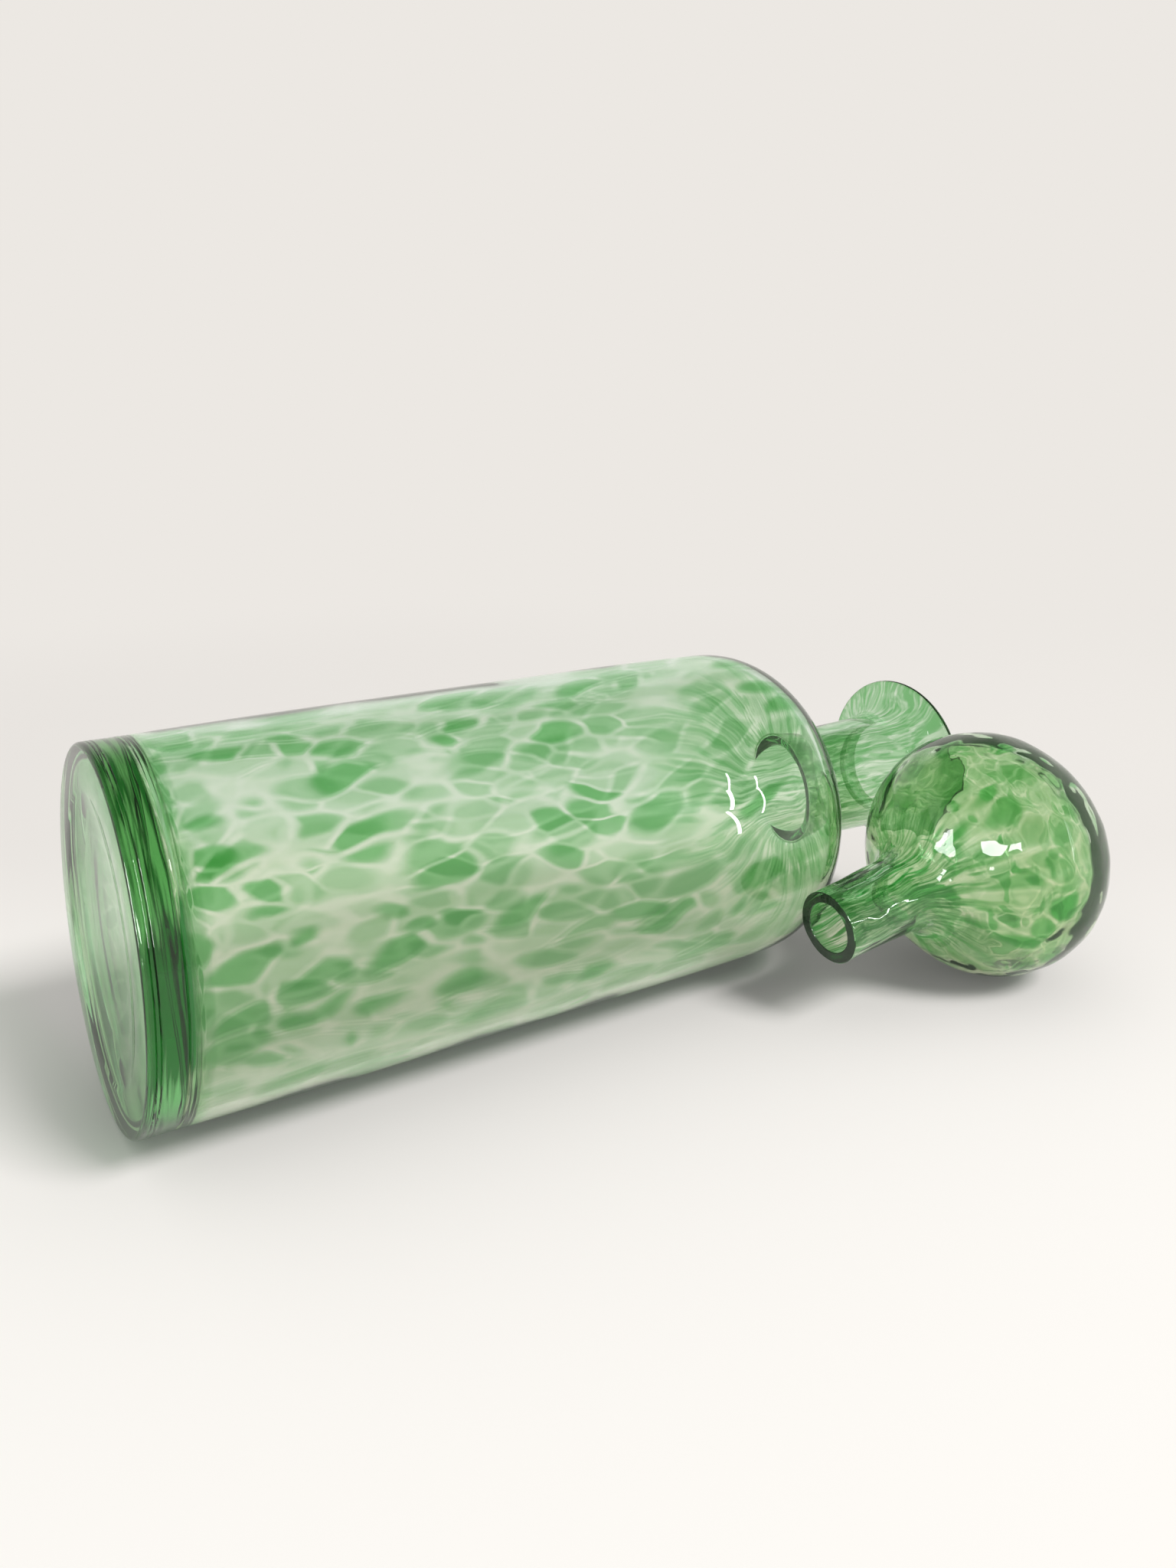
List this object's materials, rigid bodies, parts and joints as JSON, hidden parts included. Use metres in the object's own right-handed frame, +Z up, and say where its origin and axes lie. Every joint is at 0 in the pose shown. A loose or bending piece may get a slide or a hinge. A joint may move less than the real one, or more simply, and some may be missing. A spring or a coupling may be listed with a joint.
{
  "type": "glass carafe",
  "caption": "Blown glass carafe with a straight body, thick base, narrow neck and flared lip, lying on its side, with its hollow ball stopper taken out and lying beside the neck.",
  "frame": {"origin": "on the table, under the middle of the carafe and its stopper as they lie", "axes": "+X along the lying carafe from its foot to its lip, +Z up, and the stopper lies on the -Y side"},
  "size_m": [0.2894, 0.1496, 0.0999],
  "materials": {
    "carafe_glass": "fire-polished clear glass with soft green mottling",
    "stopper_glass": "fire-polished clear glass with soft green mottling, ground at the stem's end"
  },
  "bodies": {
    "carafe": {"carafe": "carafe_glass"},
    "stopper": {"stopper": "stopper_glass"}
  },
  "joints": [
    {"name": "stopper_slide", "type": "slide", "parent": "carafe", "child": "stopper", "axis": [0, -1, 0], "range_m": [0, 0.15]}
  ]
}
